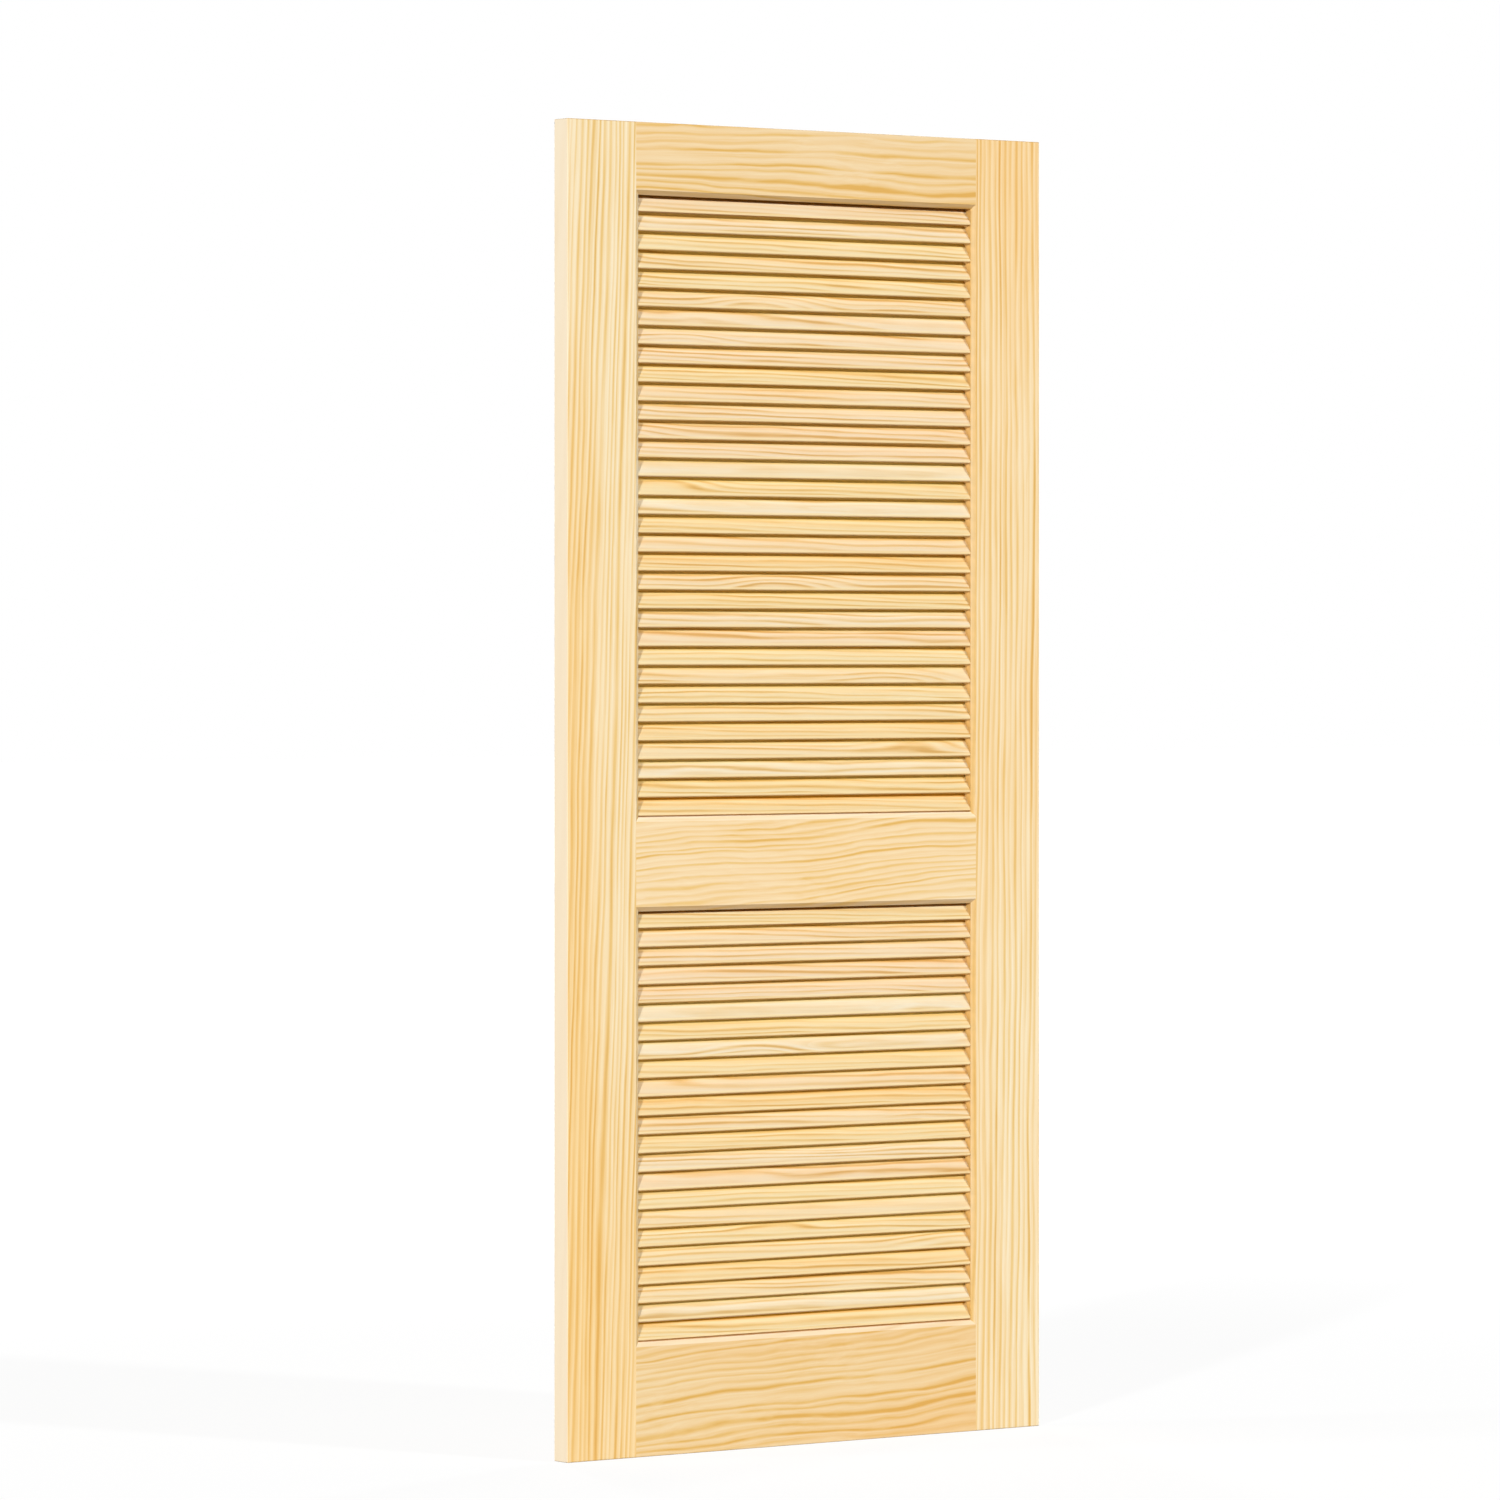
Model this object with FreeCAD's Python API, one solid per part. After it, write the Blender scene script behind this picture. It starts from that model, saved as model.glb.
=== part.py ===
import FreeCAD
import Part
import math
import os

# Louvred pine door: two stiles and three rails, coped together and dowelled,
# with fixed slats whose ends are housed in slanted slots in the stiles.
# Millimetres. +Z is up, the front face looks towards -Y, and the origin is the
# middle of the bottom edge.

# Slab: 36 by 80 by 1 3/8 inches
door_width = 914.4
door_height = 2032.0
door_thickness = 34.925
arris_chamfer = 1.0

# Frame members, measured over the bevels on their inner edges
stile_width = 135.0
top_rail_height = 110.5
lock_rail_height = 143.5
bottom_rail_height = 174.5
lower_panel_height = 655.5

# Bevel run along every inner edge, on the front and on the back
bevel_width = 7.0
bevel_depth = 4.6

# Slats: round on both long edges, front edge low, spread evenly at about the pitch and set in
# behind the bevels. The lowest stands clear of the rail below, and the top one laps into the
# rail above.
slat_pitch = 28.575
slat_thickness = 7.0
slat_slope = 55.0
slat_inset = 0.6
slat_sill_gap = 0.6
slat_head_lap = 5.5

# Rounds that repeat are drawn with flats: a nose over its half turn, a dowel over a full one
nose_flat_count = 6
dowel_flat_count = 12

# Slots in the stiles that house the slat ends, and grooves in the rails for the top slats
slot_depth = 9.5
slot_clearance = 0.2
slat_end_float = 0.5

# Dowels across each joint of rail and stile
dowel_diameter = 12.7
dowel_length = 101.6
dowel_chamfer = 1.5
dowel_edge_distance = 28.0
dowel_widest_spacing = 90.0
dowel_clearance = 0.1
dowel_end_room = 0.5

# Places that follow from the sizes above
half_width = door_width / 2
half_thickness = door_thickness / 2
half_core = half_thickness - bevel_depth
opening_half_width = half_width - stile_width
lock_rail_bottom = bottom_rail_height + lower_panel_height
lock_rail_top = lock_rail_bottom + lock_rail_height
top_rail_bottom = door_height - top_rail_height

# A slat's section is a straight run between the centres of its two round noses
slope = math.radians(slat_slope)
nose_radius = slat_thickness / 2
run_depth = 2 * (half_core - slat_inset) - slat_thickness
run_length = run_depth / math.cos(slope)
slat_rise = run_depth * math.tan(slope) + slat_thickness
slat_length = 2 * (opening_half_width + slot_depth - slat_end_float)

SIDES = {"left": -1, "right": 1}
RAILS = {
    "top_rail": (top_rail_bottom, door_height),
    "lock_rail": (lock_rail_bottom, lock_rail_top),
    "bottom_rail": (0, bottom_rail_height),
}
PANELS = {
    "upper": (lock_rail_top, top_rail_bottom),
    "lower": (bottom_rail_height, lock_rail_bottom),
}


def point(x, y, z):
    return FreeCAD.Vector(x, y, z)


def prism(corners, sweep):
    """Solid swept from the flat outline that joins the corners."""
    outline = Part.makePolygon(corners + corners[:1])
    return Part.Face(outline).extrude(sweep)


def faceted_arc(centre, ahead, beside, radius, start, sweep, flats):
    """Points round an arc in the plane of two directions, joined by equal flats."""
    corners = []
    for i in range(flats + 1):
        angle = math.radians(start + sweep * i / flats)
        offset = ahead * math.cos(angle) + beside * math.sin(angle)
        corners.append(centre + offset * radius)
    return corners


def eased_slab():
    """The whole slab's box, with the sharp edges taken off."""
    corner = point(-half_width, -half_thickness, 0)
    box = Part.makeBox(door_width, door_thickness, door_height, corner)
    return box.makeChamfer(arris_chamfer, box.Edges)


def stile_blank(side):
    """Plain stile, whose inner edge is bevelled front and back along its length."""
    outer = side * half_width
    inner = side * opening_half_width
    face = side * (opening_half_width + bevel_width)
    plan = [
        (outer, -half_thickness),
        (face, -half_thickness),
        (inner, -half_core),
        (inner, half_core),
        (face, half_thickness),
        (outer, half_thickness),
    ]
    return prism([point(x, y, 0) for x, y in plan], point(0, 0, door_height))


def rail_edge(height, inwards, bevelled):
    """Depth and height of a rail's section along one edge, from front to back."""
    if not bevelled:
        return [(-half_thickness, height), (half_thickness, height)]
    face = height + inwards * bevel_width
    return [
        (-half_thickness, face),
        (-half_core, height),
        (half_core, height),
        (half_thickness, face),
    ]


def rail_blank(bottom, top):
    """Plain rail, long enough to lap over the bevels of both stiles."""
    lower_edge = rail_edge(bottom, 1, bottom > 0)
    upper_edge = rail_edge(top, -1, top < door_height)
    section = lower_edge + upper_edge[::-1]
    reach = opening_half_width + bevel_width
    return prism([point(-reach, y, z) for y, z in section], point(2 * reach, 0, 0))


def slat_bar(middle_height, margin, start, length):
    """Bar along X with a slat's slanted, round-nosed section, grown by a margin."""
    along = point(0, math.cos(slope), math.sin(slope))
    across = point(0, -math.sin(slope), math.cos(slope))
    middle = point(start, 0, middle_height)
    outline = []
    for end in (1, -1):
        nose = middle + along * (end * run_length / 2)
        outline += faceted_arc(nose, along, across, nose_radius + margin, end * 90, -180, nose_flat_count)
    return prism(outline, point(length, 0, 0))


def top_slat_height(panel_top):
    """Middle height of the slat whose upper edge laps into the rail above."""
    return panel_top + slat_head_lap - slat_rise / 2


def slat_heights(bottom, top):
    """Middle height of every slat in a panel, from the top one down."""
    first = top_slat_height(top)
    last = bottom + slat_sill_gap + slat_rise / 2
    gaps = max(1, round((first - last) / slat_pitch))
    return [first - (first - last) * i / gaps for i in range(gaps + 1)]


def slat(middle_height):
    return slat_bar(middle_height, 0, -slat_length / 2, slat_length)


def slat_slot(middle_height, side):
    """Cutter for one stopped slot, which runs out past the stile's inner edge."""
    floor = side * (opening_half_width + slot_depth)
    return slat_bar(middle_height, slot_clearance, floor, -side * 2 * slot_depth)


def head_groove(panel_top):
    """Cutter for the slanted groove along a rail's underside, over a panel."""
    reach = opening_half_width + bevel_width
    return slat_bar(top_slat_height(panel_top), slot_clearance, -reach, 2 * reach)


def dowel_heights(bottom, top):
    """Heights of the dowels in a rail: set in from its edges and spread evenly."""
    spread = top - bottom - 2 * dowel_edge_distance
    if spread < 2 * dowel_diameter:
        return [(bottom + top) / 2]
    gaps = math.ceil(spread / dowel_widest_spacing)
    return [bottom + dowel_edge_distance + spread * i / gaps for i in range(gaps + 1)]


def all_dowel_heights():
    return [height for span in RAILS.values() for height in dowel_heights(*span)]


def joint_rod(side, height, radius, length):
    """Rod along X across a joint, half in the rail and half in the stile."""
    start = point(side * opening_half_width - length / 2, 0, height)
    ring = faceted_arc(start, point(0, 1, 0), point(0, 0, 1), radius, 0, 360, dowel_flat_count)
    return prism(ring[:-1], point(length, 0, 0))


def dowel(side, height):
    """Dowel with chamfered ends."""
    rod = joint_rod(side, height, dowel_diameter / 2, dowel_length)
    rims = [edge for edge in rod.Edges if edge.BoundBox.XLength < dowel_chamfer]
    return rod.makeChamfer(dowel_chamfer, rims)


def dowel_bore(side, height):
    radius = dowel_diameter / 2 + dowel_clearance
    return joint_rod(side, height, radius, dowel_length + 2 * dowel_end_room)


def stile(side, slab):
    """Stile with a slot for every slat and a bore for every dowel."""
    blank = stile_blank(side).common(slab)
    slots = [slat_slot(height, side) for span in PANELS.values() for height in slat_heights(*span)]
    bores = [dowel_bore(side, height) for height in all_dowel_heights()]
    return blank.cut(slots + bores)


def rail(bottom, top, slab):
    """Rail coped to the stiles' bevelled edges, and grooved where a panel lies under it."""
    blank = rail_blank(bottom, top).common(slab)
    cuts = [stile_blank(side) for side in SIDES.values()]
    for height in dowel_heights(bottom, top):
        cuts += [dowel_bore(side, height) for side in SIDES.values()]
    if bottom > 0:
        cuts.append(head_groove(bottom))
    return blank.cut(cuts)


def save(name, solids):
    """Writes one node and prints what it holds."""
    shape = solids[0] if len(solids) == 1 else Part.makeCompound(solids)
    sound = shape.isValid() and all(solid.Volume > 0 for solid in shape.Solids)
    print(f"{name}: {len(shape.Solids)} solid(s), {shape.Volume / 1000:.1f} cm3, sound {sound}")
    shape.exportStep(os.path.join("parts", name + ".step"))


def main():
    os.makedirs("parts", exist_ok=True)
    slab = eased_slab()
    for side_name, side in SIDES.items():
        save(f"{side_name}_stile", stile(side, slab).Solids)
    for rail_name, span in RAILS.items():
        save(rail_name, rail(*span, slab).Solids)
    dowels = [dowel(side, height) for side in SIDES.values() for height in all_dowel_heights()]
    save("rail_dowels", dowels)
    for panel, span in PANELS.items():
        heights = slat_heights(*span)
        save(f"{panel}_end_slats", [slat(heights[0]), slat(heights[-1])])
        for number, height in enumerate(heights[1:-1], start=2):
            save(f"{panel}_slat_{number:02d}", [slat(height)])
        print(f"{panel} panel: {len(heights)} slats, {heights[0] - heights[1]:.3f} mm apart")
    print(f"slat: {slat_length:.1f} long, {run_length + slat_thickness:.2f} wide, {slat_rise:.2f} rise")


main()
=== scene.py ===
# %% [markdown]
# A louvred door is a frame of boards round two banks of thin, slanted slats.
# The boards and slats come from an imported CAD model at their real size, in metres, with +Z up
# and the front of the door towards -Y. That model is the fixed frame of this scene: nothing in it
# is moved or resized.

# %% Load the door
import math

import bmesh
import bpy
from mathutils import Euler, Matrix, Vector


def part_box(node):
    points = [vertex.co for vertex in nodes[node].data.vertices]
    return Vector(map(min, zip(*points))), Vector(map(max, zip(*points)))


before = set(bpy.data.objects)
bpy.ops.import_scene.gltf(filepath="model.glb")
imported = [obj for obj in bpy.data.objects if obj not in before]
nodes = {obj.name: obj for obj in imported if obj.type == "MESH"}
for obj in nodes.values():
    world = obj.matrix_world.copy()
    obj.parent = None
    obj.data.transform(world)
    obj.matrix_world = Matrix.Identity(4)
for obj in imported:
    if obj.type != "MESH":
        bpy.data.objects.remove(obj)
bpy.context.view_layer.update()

scene = bpy.context.scene

# %% [markdown]
# Colours are written as sRGB hex, the way a colour picker shows them, but shaders work in linear
# light, so one function translates. Node trees get long when each node takes many lines, so one
# more function adds a node, sets it up and plugs in its inputs: a node or a socket becomes a
# link, and anything else becomes the input's own value. A Mix node has sockets for each kind of
# data, and its colours are inputs 6 and 7 and output 2. A colour ramp starts with two stops, so
# only a third and later ones are new.

# %% Colour and node helpers
def linear(hex_colour):
    """Linear RGBA of a colour written as sRGB hex."""
    channels = [int(hex_colour[i:i + 2], 16) / 255 for i in (1, 3, 5)]
    return [c / 12.92 if c <= 0.04045 else ((c + 0.055) / 1.055) ** 2.4 for c in channels] + [1]


def add(tree, kind, inputs, stops=(), **settings):
    """Adds a shader node. Stops are the positions and colours of a colour ramp, in order."""
    node = tree.nodes.new("ShaderNode" + kind)
    for setting, value in settings.items():
        setattr(node, setting, value)
    for socket, value in inputs.items():
        if isinstance(value, bpy.types.Node):
            value = value.outputs[0]
        if isinstance(value, bpy.types.NodeSocket):
            tree.links.new(value, node.inputs[socket])
        else:
            node.inputs[socket].default_value = value
    for number, (position, colour) in enumerate(stops):
        elements = node.color_ramp.elements
        stop = elements[number] if number < 2 else elements.new(position)
        stop.position = position
        stop.color = colour
    return node


print("mid grey in linear light:", round(linear("#808080")[0], 3))

# %% [markdown]
# Every board is bare pine, planed and sanded. What the eye reads as pine is its growth rings:
# each year adds a wide pale band and a narrow darker one round the tree's middle, the pith, and
# a board is a flat cut through those nested cones. A picture of wood wrapped round the board
# would break at its edges, so the grain is made as a solid pattern instead. It needs to know
# where a point lies in its board: across it, into its depth and along it, in millimetres.

# %% Place of a point in its board
MM_PER_M = 1000


def board_place(tree, centre, turn):
    """Millimetres across, into and along a board, from its centre."""
    origin = Euler(turn).to_matrix() @ Vector(centre) * -MM_PER_M
    metres = add(tree, "TexCoord", {}).outputs["Object"]
    scale = (MM_PER_M, MM_PER_M, MM_PER_M)
    return add(tree, "Mapping", {
        "Vector": metres, "Location": origin, "Rotation": turn, "Scale": scale})


def grain_noise(tree, place, size, seed, detail):
    """Soft noise drawn out along a board. Its size is given across and along, in millimetres."""
    scale = (1 / size[0], 1 / size[0], 1 / size[1])
    drawn = add(tree, "Mapping", {"Vector": place, "Scale": scale, "Location": (seed, seed, seed)})
    return add(tree, "TexNoise", {"Vector": drawn, "Scale": 1, "Detail": detail})


print(f"grain is drawn in millimetres, {MM_PER_M} to the metre")

# %% [markdown]
# Slats are ripped from many boards and sorted by nobody, so neighbours differ: cream, pinkish or
# yellow, plain or figured. One finish serves a whole bank. Counting along the direction in which
# the slats are stacked tells which slat a point belongs to, and that number draws a place in the
# log and a tint by chance, the same at every run. The rear part of a slat's upper face, tucked in
# under the next slat, lies in shade, and a painted shade in an amber tint darkens it further.

# %% Place of a point in its slat
SLAT_SLOPE = math.radians(55)
LOG_SPREAD = (260, 90, 9000)            # across, into and along the logs that slats come from
# Bounds of the painted shade on the tucked rear of each slat's upper face
PAINTED_SHADE_FROM, PAINTED_SHADE_TO = -4, -9     # across a slat, from its middle towards the back
UPPER_FROM, UPPER_TO = 2.7, 3.3         # out of a slat, from its middle to just under its face


def slat_place(tree, place, pitch, seed):
    """Place in the log, chance of a tint, and share of painted shade at a point of a slat."""
    stacked = pitch * math.cos(SLAT_SLOPE)
    step = (pitch * math.sin(SLAT_SLOPE), -stacked, 0)
    depth = add(tree, "SeparateXYZ", {0: place}).outputs["Y"]
    number = add(tree, "Math", {0: depth, 1: stacked}, operation="DIVIDE")
    number = add(tree, "Math", {0: number}, operation="ROUND")
    place = add(tree, "VectorMath", {0: number, 1: step, 2: place}, operation="MULTIPLY_ADD")
    across, out, _ = add(tree, "SeparateXYZ", {0: place}).outputs
    rear = add(tree, "MapRange", {
        "Value": across, "From Min": PAINTED_SHADE_FROM, "From Max": PAINTED_SHADE_TO})
    upper = add(tree, "MapRange", {"Value": out, "From Min": UPPER_FROM, "From Max": UPPER_TO})
    painted_tucked_shade = add(tree, "Math", {0: rear, 1: upper}, operation="MULTIPLY")
    lot = add(tree, "Math", {0: number, 1: seed}, operation="ADD")
    chance = add(tree, "TexWhiteNoise", {"W": lot}, noise_dimensions="1D")
    place = add(tree, "VectorMath", {0: chance.outputs["Color"], 1: LOG_SPREAD, 2: place},
                operation="MULTIPLY_ADD")
    return place, chance, painted_tucked_shade


print(f"slats slope {math.degrees(SLAT_SLOPE):.0f} degrees")

# %% [markdown]
# The rings are the distance from the pith line, counted in ring widths, so that each year is one
# step outwards. The pith leans, because no board is cut quite along its tree, and slow noise
# makes it sway. Where a hidden knot lies near, it pushes the rings aside into an eye, and good
# and bad years make them wider and narrower. A Wave texture draws rings too, but it gives no
# count of the years, which the next step needs.

# %% Count of years
KNOT_SPACING = (110, 600)
KNOT_REACH = 0.3                    # as a share of the spacing
PACE_SCALE, PACE_REACH = 0.45, 0.9  # changes of pace in a year, and how many years they shift


def years_grown(tree, place, pith, ring, lean, wave, wave_size, knot, seed):
    """Years from the pith to a point, and the point's place as the pith sways."""
    along = add(tree, "SeparateXYZ", {0: place}).outputs["Z"]
    leaning = add(tree, "VectorMath", {0: along, 1: (*lean, 0), 2: place},
                  operation="MULTIPLY_ADD")
    sway = grain_noise(tree, place, wave_size, seed, detail=3).outputs["Color"]
    swayed = add(tree, "VectorMath", {0: sway, 1: (wave, wave, 0), 2: leaning},
                 operation="MULTIPLY_ADD")
    spoke = add(tree, "Mapping", {"Vector": swayed, "Scale": (1 / ring, 1 / ring, 0),
                                  "Location": (-pith[0] / ring, -pith[1] / ring, 0)})
    years = add(tree, "VectorMath", {0: spoke}, operation="LENGTH").outputs["Value"]

    scale = (1 / KNOT_SPACING[0], 1 / KNOT_SPACING[0], 1 / KNOT_SPACING[1])
    spread = add(tree, "Mapping", {"Vector": place, "Scale": scale, "Location": (seed, 0, seed)})
    knots = add(tree, "TexVoronoi", {"Vector": spread, "Scale": 1})
    push = add(tree, "MapRange", {"Value": knots, "From Min": KNOT_REACH, "From Max": 0,
                                  "To Max": knot}, interpolation_type="SMOOTHSTEP")
    years = add(tree, "Math", {0: years, 1: push}, operation="ADD")
    pace = add(tree, "TexNoise", {"W": years, "Scale": PACE_SCALE, "Detail": 1},
               noise_dimensions="1D")
    years = add(tree, "Math", {0: pace, 1: PACE_REACH, 2: years}, operation="MULTIPLY_ADD")
    return years, swayed


print(f"knots about every {KNOT_SPACING[1]} mm along a slat")

# %% [markdown]
# The part of that count after the point says how far the year has gone: pale wood through spring,
# darkening to the late wood of autumn, then pale again. Each year gets a strength of its own, for
# dry years make faint lines, and every line fades and comes back along its way. Without that, the
# lines would look printed.

# %% Late wood
YEAR = [(0, 0.3), (0.3, 0), (0.7, 1), (1, 0.3)]     # part of the year gone, and how dark
FAINTEST_YEAR = 0.4
FADE_SIZE = (14, 300)
FADE_FROM, FADE_TO, FADED = 0.3, 0.6, 0.3


def late_wood(tree, years, swayed, seed):
    """How late in its year the wood at a point grew, from 0 to 1."""
    season = add(tree, "Math", {0: years}, operation="FRACT")
    late = add(tree, "ValToRGB", {0: season}, stops=[
        (gone, (dark, dark, dark, 1)) for gone, dark in YEAR])
    late.color_ramp.interpolation = "EASE"
    number = add(tree, "Math", {0: years}, operation="FLOOR")
    strength = add(tree, "TexWhiteNoise", {"W": number}, noise_dimensions="1D")
    strength = add(tree, "MapRange", {"Value": strength, "To Min": FAINTEST_YEAR, "To Max": 1})
    fade = grain_noise(tree, swayed, FADE_SIZE, seed, detail=2)
    fade = add(tree, "MapRange", {"Value": fade, "From Min": FADE_FROM, "From Max": FADE_TO,
                                  "To Min": FADED, "To Max": 1})
    late = add(tree, "Math", {0: late, 1: strength}, operation="MULTIPLY")
    return add(tree, "Math", {0: late, 1: fade}, operation="MULTIPLY")


print(f"lines fade and come back about every {FADE_SIZE[1]} mm")

# %% [markdown]
# All that darkens the wood goes into one number, its depth of colour: most of it from late wood,
# some from streaks a few millimetres wide, and some from the fibres themselves. One number is
# handy, because colour and gloss can both be read from it.

# %% Depth of colour
RING_SHARE, STREAK_SHARE, FIBRE_SHARE = 1.15, 0.45, 0.35
PALEST = -0.31              # brings the plainest wood to the pale end of the scale
STREAK_SIZE = (5, 420)
FIBRE_SIZE = (1.8, 80)      # real fibres are far finer: drawn wide enough to show


def colour_depth(tree, place, seed, **grain):
    """Depth of colour at a point, mostly between 0 and 1, and the pattern of the fibres."""
    years, swayed = years_grown(tree, place, seed=seed, **grain)
    late = late_wood(tree, years, swayed, seed)
    streaks = grain_noise(tree, swayed, STREAK_SIZE, seed, detail=3)
    fibres = grain_noise(tree, swayed, FIBRE_SIZE, seed, detail=2)
    depth = PALEST
    for pattern, share in ((late, RING_SHARE), (streaks, STREAK_SHARE), (fibres, FIBRE_SHARE)):
        depth = add(tree, "Math", {0: pattern, 1: share, 2: depth}, operation="MULTIPLY_ADD")
    return depth, fibres


deepest = PALEST + RING_SHARE + STREAK_SHARE + FIBRE_SHARE
print(f"depth of colour can run from {PALEST} to {deepest:.2f}, and the scale shows 0 to 1")

# %% [markdown]
# One board is not coloured alike on every side. Sawn ends are darker, as end grain is. The other
# tones are painted light and shade: a painted highlight on outer edges and on faces that look up
# or to the front, and painted shade on faces that look down, on the right stile's inner edge and
# in crevices. A material for each side would mean picking faces by hand, so the way a face looks
# picks its tone. A tone is a direction in the board, a colour, and how squarely a face must look
# that way before the tone begins: early, slanting faces take part of it, and late, only flat ones
# do. It may also end at a depth in the board, in millimetres, and leave what lies behind.

# %% Tones of faces
TONE_SHARE = 0.9
EARLY, LATE = 0.1, 0.8
TONE_FADE = 6               # millimetres over which a tone ends
SAWN_END = "#CFA35F"
SAWN_ENDS = [((0, 0, 1), SAWN_END, EARLY), ((0, 0, -1), SAWN_END, EARLY)]


def tone_faces(tree, colour, place, turn, tones):
    """Mixes each tone into the faces that look its way: end grain, painted light, painted shade.
    """
    normal = add(tree, "NewGeometry", {}).outputs["Normal"]
    for direction, shade, start, *end in tones:
        outward = Euler(turn).to_matrix().transposed() @ Vector(direction)
        facing = add(tree, "VectorMath", {0: normal, 1: outward}, operation="DOT_PRODUCT")
        share = add(tree, "MapRange", {"Value": facing.outputs["Value"], "From Min": start,
                                       "From Max": 1, "To Max": TONE_SHARE})
        if end:
            depth = add(tree, "SeparateXYZ", {0: place}).outputs["Y"]
            share = add(tree, "MapRange", {"Value": depth, "From Min": end[0] + TONE_FADE,
                                           "From Max": end[0], "To Max": share})
        colour = add(tree, "Mix", {0: share, 6: colour, 7: linear(shade)}, data_type="RGBA")
        colour = colour.outputs[2]
    return colour


print(f"{len(SAWN_ENDS)} sawn ends on every board")

# %% [markdown]
# Bare wood hardly shines, because its open pores swallow most of what a sealed surface would
# mirror. Late wood is denser, so it takes the light a touch more smoothly, and the fibres raise
# the surface a little. Index of refraction and sheen are the same all over, so they are set on
# the shader itself, and only roughness and relief need nodes.

# %% Surface of bare wood
WOOD_IOR = 1.53
BARE_SHEEN = 0.12           # a quarter of a sealed surface's
EARLY_ROUGHNESS, LATE_ROUGHNESS = 0.78, 0.66
FIBRE_HEIGHT = 0.0003       # in metres
FIBRE_RELIEF = 0.25


def bare_surface(tree, depth, fibres):
    """Sets the gloss and the fine relief of bare wood, and gives the shader."""
    shader = tree.nodes["Principled BSDF"]
    shader.inputs["IOR"].default_value = WOOD_IOR
    shader.inputs["Specular IOR Level"].default_value = BARE_SHEEN
    rough = add(tree, "MapRange", {
        "Value": depth, "To Min": EARLY_ROUGHNESS, "To Max": LATE_ROUGHNESS})
    bump = add(tree, "Bump", {
        "Height": fibres, "Strength": FIBRE_RELIEF, "Distance": FIBRE_HEIGHT})
    tree.links.new(rough.outputs[0], shader.inputs["Roughness"])
    tree.links.new(bump.outputs[0], shader.inputs["Normal"])
    return shader


mirror_share = 2 * BARE_SHEEN * ((WOOD_IOR - 1) / (WOOD_IOR + 1)) ** 2
print(f"bare wood mirrors {mirror_share:.1%} of the light that meets it squarely")

# %% [markdown]
# The finish puts these together. Depth of colour is read on a scale of four colours, from pale
# early wood to dark resin. A tint then wanders over the board, and drifts from one end to the
# other where the tree's foot gave richer wood. On slats each slat has one tint, and a painted
# shade darkens the tucked rear of each upper face. The tones of the faces, end grain and painted
# light and shade, lie over all that.

# %% Bare wood
WOOD_STOPS = (0, 0.3, 0.7, 1)       # early wood, between, late wood, resin
TINT_SIZE = (160, 900)


def bare_wood(name, centre, turn, wood, tints, tones=(), seed=0, foot=0, pitch=None, painted_shade_tint=None,
              **grain):
    """Bare wood: matt and pale, with soft darker lines along the board.

    Wood is the scale's four colours, and tints are the positions and colours of a second scale.
    Foot is how fast the tint drifts along the board. Pitch and the tint after it are for a bank of
    slats: the height from slat to slat, and the colour of the painted shade on the tucked rear of
    each upper face.
    """
    material = bpy.data.materials.new(name)
    material.use_nodes = True
    tree = material.node_tree
    place = board_place(tree, centre, turn)
    along = add(tree, "SeparateXYZ", {0: place}).outputs["Z"]
    if pitch:
        place, chance, painted_tucked_shade = slat_place(tree, place, pitch, seed)
    else:
        chance = grain_noise(tree, place, TINT_SIZE, seed, detail=1)
    depth, fibres = colour_depth(tree, place, seed, **grain)

    colour = add(tree, "ValToRGB", {0: depth}, stops=zip(WOOD_STOPS, map(linear, wood)))
    chance = add(tree, "Math", {0: along, 1: foot, 2: chance}, operation="MULTIPLY_ADD")
    tint = add(tree, "ValToRGB", {0: chance}, stops=[(at, linear(shade)) for at, shade in tints])
    colour = add(tree, "Mix", {0: 1, 6: colour, 7: tint}, data_type="RGBA",
                 blend_type="MULTIPLY").outputs[2]
    # Painted shade: the tucked rear of each slat's upper face is darkened
    if pitch:
        colour = add(tree, "Mix", {0: painted_tucked_shade, 6: colour, 7: linear(painted_shade_tint)},
                     data_type="RGBA", blend_type="MULTIPLY").outputs[2]
    colour = tone_faces(tree, colour, place, turn, [*SAWN_ENDS, *tones])
    shader = bare_surface(tree, depth, fibres)
    tree.links.new(colour, shader.inputs["Base Color"])
    print(f"{name}: {len(tree.nodes)} shader nodes, rings {grain['ring']} mm wide")
    return material


print(f"tints wander over {TINT_SIZE[0]} mm across a board and {TINT_SIZE[1]} mm along it")

# %% [markdown]
# The stiles are the two full-height boards. Planed pine is pale cream with honey lines. A stile
# stands, so its pattern needs no turn, and it is cut along a spoke of the log, which gives
# straight lines. Each stile has its own pith and lean, so that neither looks like a copy. Outer
# edges get a painted highlight, and the right stile's inner edge, seen past the ends of the slats,
# gets a painted shade in honey.

# %% Stiles
def middle(name):
    """Middle of a CAD node's box, in metres."""
    low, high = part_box(name)
    return (low + high) / 2


def dress(name, material):
    """Gives a CAD node its finish."""
    nodes[name].data.materials.clear()
    nodes[name].data.materials.append(material)


STILE = dict(turn=(0, 0, 0), wave=32, wave_size=(110, 750), knot=0,
             wood=("#F4E5C5", "#EFD6A7", "#E7C481", "#DBAF63"))
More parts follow.
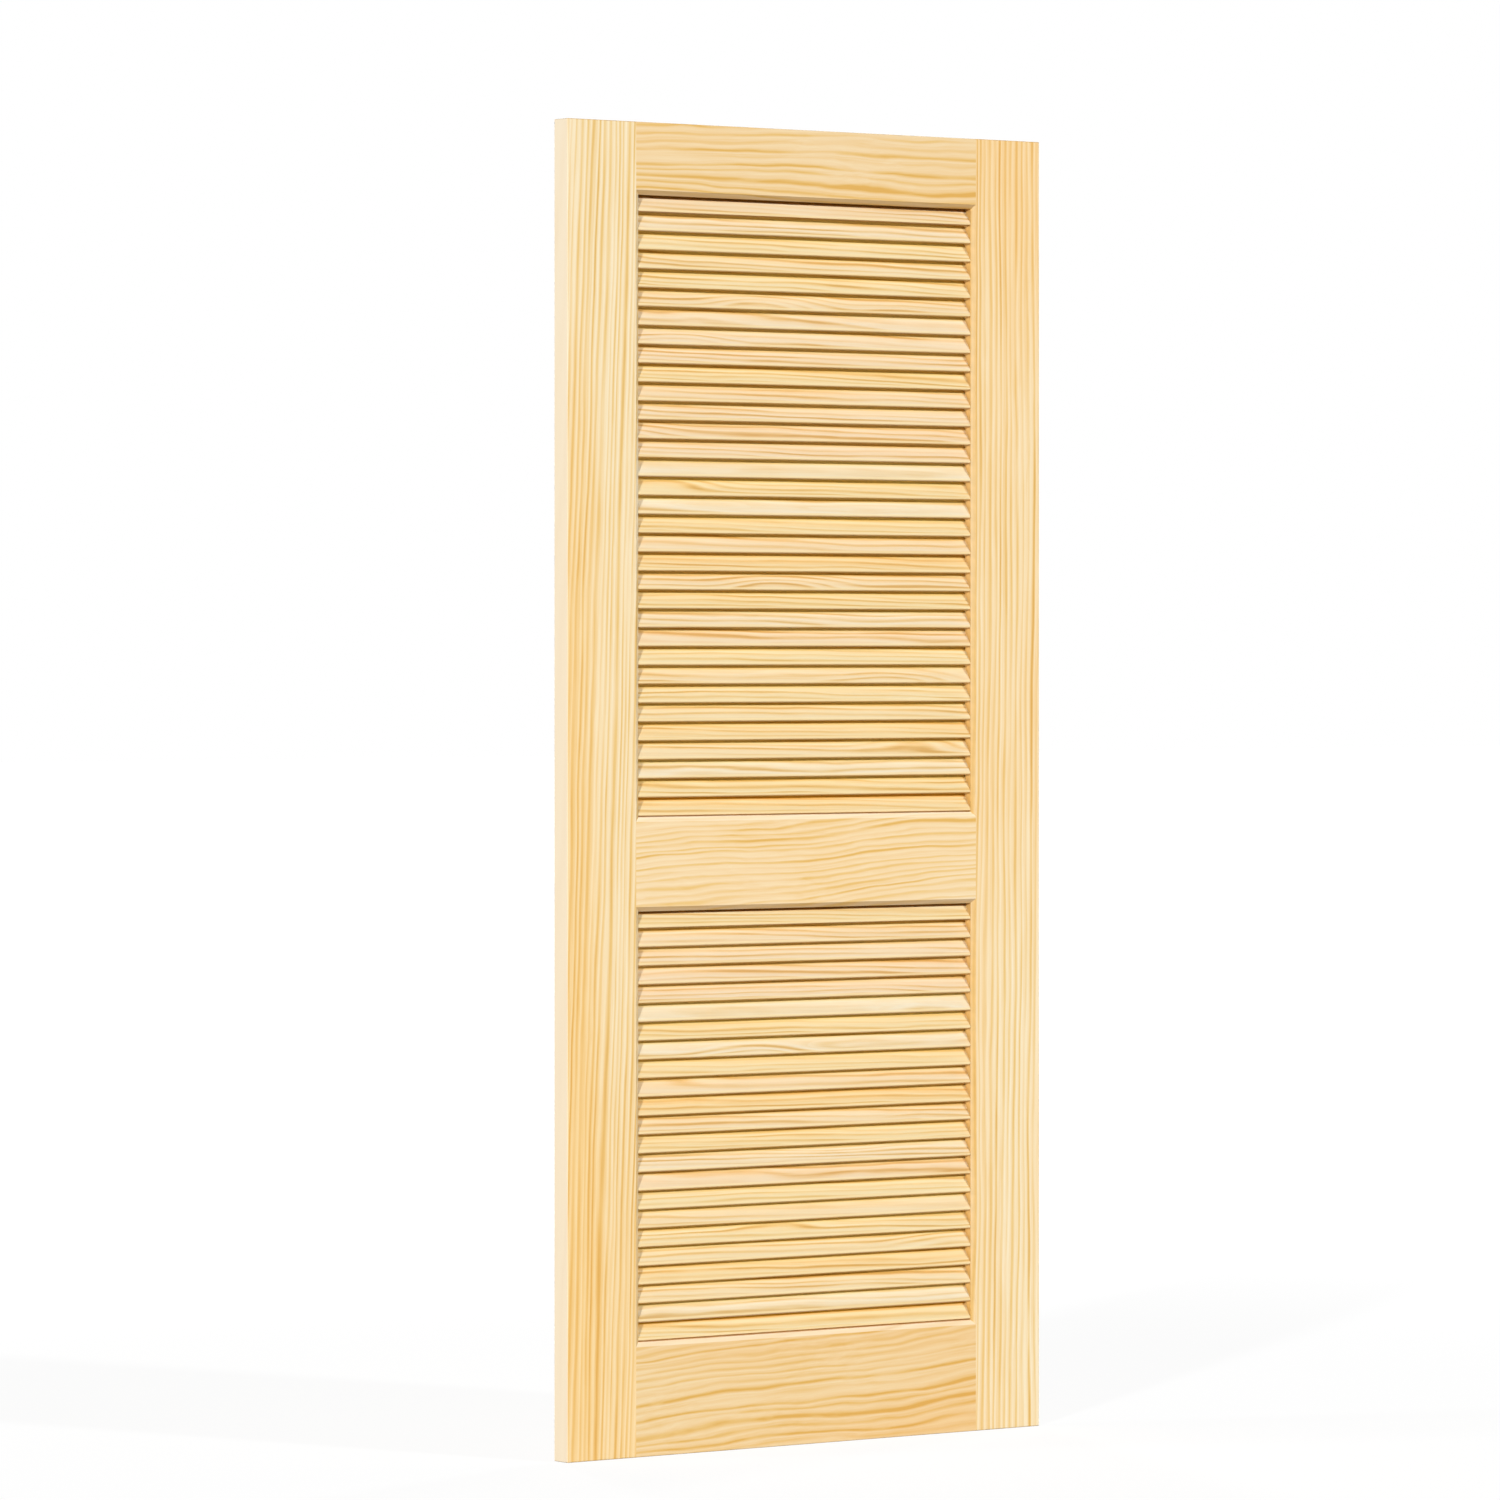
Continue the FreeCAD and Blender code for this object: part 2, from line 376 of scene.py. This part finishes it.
# Painted highlight for the outer edges, painted shade for the right stile's inner edge
OUTER_EDGE_PAINTED_HIGHLIGHT, INNER_EDGE_PAINTED_SHADE = "#EFDFC4", "#CBA05A"
STILES = {
    "left_stile": dict(
        pith=(-260, 60), ring=9.5, lean=(-0.03, 0.01), seed=1.3, foot=-0.0002,
        tints=((0.3, "#FFFFFF"), (0.7, "#FFEFD0")), tones=[((-1, 0, 0), OUTER_EDGE_PAINTED_HIGHLIGHT, EARLY)]),
    "right_stile": dict(
        pith=(240, 80), ring=10, lean=(-0.012, 0.01), seed=4.1, foot=0.0001,
        tints=((0.3, "#FFFFFF"), (0.7, "#FFF1DC")),
        tones=[((1, 0, 0), OUTER_EDGE_PAINTED_HIGHLIGHT, EARLY), ((-1, 0, 0), INNER_EDGE_PAINTED_SHADE, EARLY)]),
}
for name, stile in STILES.items():
    dress(name, bare_wood(f"planed_pine_{name}", middle(name), **STILE, **stile))

# %% [markdown]
# The three rails lie between the stiles, so their pattern is turned to run along them, and its
# first direction then points up. They are cut more at a slant to the log, from wood that swayed
# more, which gives waves and flames. An edge over a slat bank looks down, and its bevel gets a
# painted shade in brown. Under a bank, the bevel looks up and gets a painted highlight, and the
# core behind it gets a painted shade in brown at the front, close under the lowest slat.

# %% Rails
RAIL = dict(turn=(0, math.radians(90), 0), wave=45, wave_size=(110, 420), knot=0,
            wood=("#F3E0BE", "#EFD5AA", "#E9C888", "#E0B669"))
CREVICE_END = -3            # just in front of the rail's middle
# Painted shade on the bevel that looks down
LOWER_EDGE_PAINTED_SHADE = [((-1, 0, 0), "#AB7D3F", EARLY)]
# Painted highlight on the bevel that looks up, and painted shade on the core's front, in the
# crevice under the lowest slat
UPPER_EDGE_PAINTED_LIGHT_AND_SHADE = [((1, 0, 0), "#FBF0D8", EARLY), ((1, 0, 0), "#DFA344", LATE, CREVICE_END)]
RAILS = {
    "top_rail": dict(
        pith=(-150, 90), ring=11, lean=(0.02, 0.03), seed=7.7,
        tints=((0.3, "#FAF7F0"), (0.7, "#FAEDD4")), tones=LOWER_EDGE_PAINTED_SHADE),
    "lock_rail": dict(
        pith=(190, 60), ring=9, lean=(0.04, 0.04), seed=2.9,
        tints=((0.3, "#FFFDF8"), (0.7, "#FFF7E8")), tones=LOWER_EDGE_PAINTED_SHADE + UPPER_EDGE_PAINTED_LIGHT_AND_SHADE),
    "bottom_rail": dict(
        pith=(-170, 80), ring=11, lean=(0.07, 0.06), seed=9.2,
        tints=((0.3, "#F9F2E2"), (0.7, "#F9E8CC")), tones=UPPER_EDGE_PAINTED_LIGHT_AND_SHADE),
}
for name, rail in RAILS.items():
    dress(name, bare_wood(f"planed_pine_{name}", middle(name), **RAIL, **rail))

# %% [markdown]
# Sanded slats are a little cooler in colour than the frame. A slat's pattern is turned so that its
# first direction points to the front and down, along its slope, and its second one out of its
# upper face. The front of each round nose, which catches the light, gets a painted highlight, and
# its underside gets a painted shade in honey. At the two ends of a bank the slats sit close to the
# rails, and there the underside's painted shade is darker still.

# %% Slats
SLAT = dict(
    turn=(-SLAT_SLOPE, math.radians(90), math.radians(90)),
    wood=("#EADFC4", "#E8D5B0", "#E0C490", "#D1AB6D"),
    tints=((0, "#FFFFFF"), (0.35, "#FFF5EE"), (0.7, "#FFFAE6"), (1, "#FFF0D2")),
    pith=(130, 60), ring=9, lean=(0.02, 0.01), wave=30, wave_size=(90, 500), knot=2)
SLAT_SEEDS = {"upper": 3, "lower": 4}
# Painted shade colours for the tucked rear of the slats' upper faces, darker for the end slats
SLAT_TUCKED_PAINTED_SHADE, END_TUCKED_PAINTED_SHADE = "#E8DEA0", "#E8C664"
# Painted highlight on the front of each slat's nose
NOSE_PAINTED_HIGHLIGHT = ((math.cos(SLAT_SLOPE), math.sin(SLAT_SLOPE), 0), "#F4DCA8", 0.85)
# Painted shade on the underside of each slat's nose
NOSE_UNDERSIDE_PAINTED_SHADE = ((0.98, -0.2, 0), "#CC9A50", 0.6)
# Darker painted shade on the undersides of the end slats, in the crevice at the rails
END_UNDERSIDE_PAINTED_SHADE = ((1, 0, 0), "#AA7022", 0.72)

for panel, seed in SLAT_SEEDS.items():
    names = sorted(name for name in nodes if name.startswith(f"{panel}_slat_"))
    top, bottom = middle(names[0]), middle(names[-1])
    pitch = (top.z - bottom.z) / (len(names) - 1) * MM_PER_M
    bank = dict(**SLAT, centre=bottom, seed=seed, pitch=pitch)
    finish = bare_wood(f"sanded_pine_{panel}_slats", painted_shade_tint=SLAT_TUCKED_PAINTED_SHADE,
                       tones=[NOSE_PAINTED_HIGHLIGHT, NOSE_UNDERSIDE_PAINTED_SHADE], **bank)
    for name in names:
        dress(name, finish)
    dress(f"{panel}_end_slats", bare_wood(
        f"sanded_pine_{panel}_end_slats", painted_shade_tint=END_TUCKED_PAINTED_SHADE,
        tones=[NOSE_PAINTED_HIGHLIGHT, END_UNDERSIDE_PAINTED_SHADE], **bank))
    print(f"{panel}: {len(names)} single slats and 2 at the ends, {pitch:.2f} mm apart")

# %% [markdown]
# Dowels hold each rail to the stiles, and nobody sees them once the door is glued. They are
# turned from beech, which is browner than pine and much finer in its rings, so the same finish
# serves with narrow rings and a colour scale of its own.

# %% Dowels
dress("rail_dowels", bare_wood(
    "turned_beech_dowels", middle("rail_dowels"), turn=RAIL["turn"],
    wood=("#E8CBA4", "#DDB98C", "#CFA577", "#B98B5E"), tints=((0.3, "#FFFFFF"), (0.7, "#FFF1DC")),
    pith=(60, 40), ring=2.5, lean=(0, 0), wave=3, wave_size=(20, 200), knot=0))

# %% [markdown]
# The camera stands far off to the left of the door, a little above its middle, with a long lens,
# so that lines which run away from it meet only slowly. Tilting it down to frame the door would
# make upright edges lean, so it is kept level and the picture is shifted instead.

# %% Camera
CAMERA_PLACE = (-7.029, -9.320, 1.2324)
CAMERA_YAW = math.radians(36.627)
CAMERA_LENS = 180.89
HORIZON_SHIFT = -0.0685
FARTHEST = 200              # past the floor's far corner
camera = bpy.data.objects.new("camera", bpy.data.cameras.new("camera"))
camera.location = CAMERA_PLACE
camera.rotation_euler = (math.radians(90), 0, -CAMERA_YAW)
camera.data.lens = CAMERA_LENS
camera.data.shift_y = HORIZON_SHIFT
camera.data.clip_end = FARTHEST
scene.collection.objects.link(camera)
scene.camera = camera
print(f"camera {camera.location.length:.1f} m away, lens {CAMERA_LENS} mm")

# %% [markdown]
# The floor is one flat sheet, so wide that its end lies far behind the door. It is a hair lower
# than the door's foot, because two faces in one place show through each other in blotches.

# %% Floor
FLOOR_SIZE = 120
FLOOR_DROP = 0.0005
sheet = bmesh.new()
bmesh.ops.create_grid(sheet, x_segments=1, y_segments=1, size=FLOOR_SIZE / 2)
bmesh.ops.translate(sheet, verts=sheet.verts, vec=(0, 0, -FLOOR_DROP))
floor = bpy.data.objects.new("floor", bpy.data.meshes.new("floor"))
sheet.to_mesh(floor.data)
sheet.free()
scene.collection.objects.link(floor)
print(f"floor {FLOOR_SIZE} m wide, {FLOOR_DROP * MM_PER_M} mm under the door")

# %% [markdown]
# The studio is seamless white. The sheet is matt grey and takes the door's shadow, and it glows
# for the rays that show the background, more so further out, until it runs into the white world
# behind. Light Path tells those rays apart, so the glow shows in the door's faint sheen but
# doesn't light it. A white sheet would need no glow, but it throws so much light up between the
# slats that the dark lines wash out.

# %% Floor finish
FLOOR_GREY = "#707070"
FLOOR_ROUGHNESS = 0.9
FLOOR_SHEEN = 0             # low lamps would glare in any gloss
NEAR_GLOW = 0.889
GLOW_FROM, GLOW_TO = 1.5, 6.0
WHITE = linear("#FFFFFF")


def background_rays(tree):
    """1 for the rays that show the background: seen straight, mirrored or through glass."""
    rays = add(tree, "LightPath", {}).outputs
    seen = add(tree, "Math", {0: rays["Is Camera Ray"], 1: rays["Is Glossy Ray"]},
               operation="MAXIMUM")
    return add(tree, "Math", {0: seen, 1: rays["Is Transmission Ray"]}, operation="MAXIMUM")


matt = bpy.data.materials.new("matt_studio_floor")
matt.use_nodes = True
tree = matt.node_tree
away = add(tree, "VectorMath", {0: add(tree, "TexCoord", {}).outputs["Object"]},
           operation="LENGTH")
glow = add(tree, "MapRange", {
    "Value": away.outputs["Value"], "From Min": GLOW_FROM, "From Max": GLOW_TO,
    "To Min": NEAR_GLOW, "To Max": 1}, interpolation_type="SMOOTHSTEP")
glow = add(tree, "Math", {0: glow, 1: background_rays(tree)}, operation="MULTIPLY")
shader = tree.nodes["Principled BSDF"]
shader.inputs["Base Color"].default_value = linear(FLOOR_GREY)
shader.inputs["Roughness"].default_value = FLOOR_ROUGHNESS
shader.inputs["Specular IOR Level"].default_value = FLOOR_SHEEN
shader.inputs["Emission Color"].default_value = WHITE
tree.links.new(glow.outputs[0], shader.inputs["Emission Strength"])
floor.data.materials.append(matt)
print(f"{matt.name}: glow {NEAR_GLOW} within {GLOW_FROM} m, 1 beyond {GLOW_TO} m")

# %% [markdown]
# Two lamps light the front, from the left and from the right, both from a little above. The left
# one is the stronger: the left stile shades the ends of the slats, and every slat shades the
# next, which is what makes louvres read. Weaker ones light the two edges and the back. Sun lamps
# give every height of a tall door the same light, and their angle sets how soft the shadows are.
# A lamp's level is the brightness it gives to a white card held up to it.

# %% Lamps
LAMPS = {
    "left_lamp": dict(azimuth=55, height=12, softness=3, level=0.83),
    "right_lamp": dict(azimuth=-20, height=17, softness=4, level=0.62),
    "left_edge_lamp": dict(azimuth=110, height=14, softness=9, level=0.40),
    "right_edge_lamp": dict(azimuth=-110, height=14, softness=9, level=0.40),
    "back_lamp": dict(azimuth=200, height=10, softness=9, level=0.40),
}


def lamp(name, azimuth, height, softness, level):
    """A lamp aimed at the door. Azimuth is measured to the left of the door's front."""
    light = bpy.data.lights.new(name, "SUN")
    light.angle = math.radians(softness)
    light.energy = level * math.pi
    stand = bpy.data.objects.new(name, light)
    stand.rotation_euler = (math.radians(90 - height), 0, -math.radians(azimuth))
    scene.collection.objects.link(stand)
    print(f"{name}: {light.energy:.2f} W per square metre, {softness} degrees wide")


for name, settings in LAMPS.items():
    lamp(name, **settings)

# %% [markdown]
# The world is the white wall of the studio. It is white only for the rays that show the
# background. To the door it gives almost no light, so the lamps alone set its shading.

# %% World
SKY_LEVEL = 0.02
world = bpy.data.worlds.new("white_studio")
world.use_nodes = True
scene.world = world
tree = world.node_tree
level = add(tree, "MapRange", {"Value": background_rays(tree), "To Min": SKY_LEVEL, "To Max": 1})
tree.nodes["Background"].inputs["Color"].default_value = WHITE
tree.links.new(level.outputs[0], tree.nodes["Background"].inputs["Strength"])
print(f"world: {SKY_LEVEL} on the door, 1 behind it")

# %% [markdown]
# The Standard view shows colours as they were mixed.

# %% Finish
scene.view_settings.view_transform = "Standard"
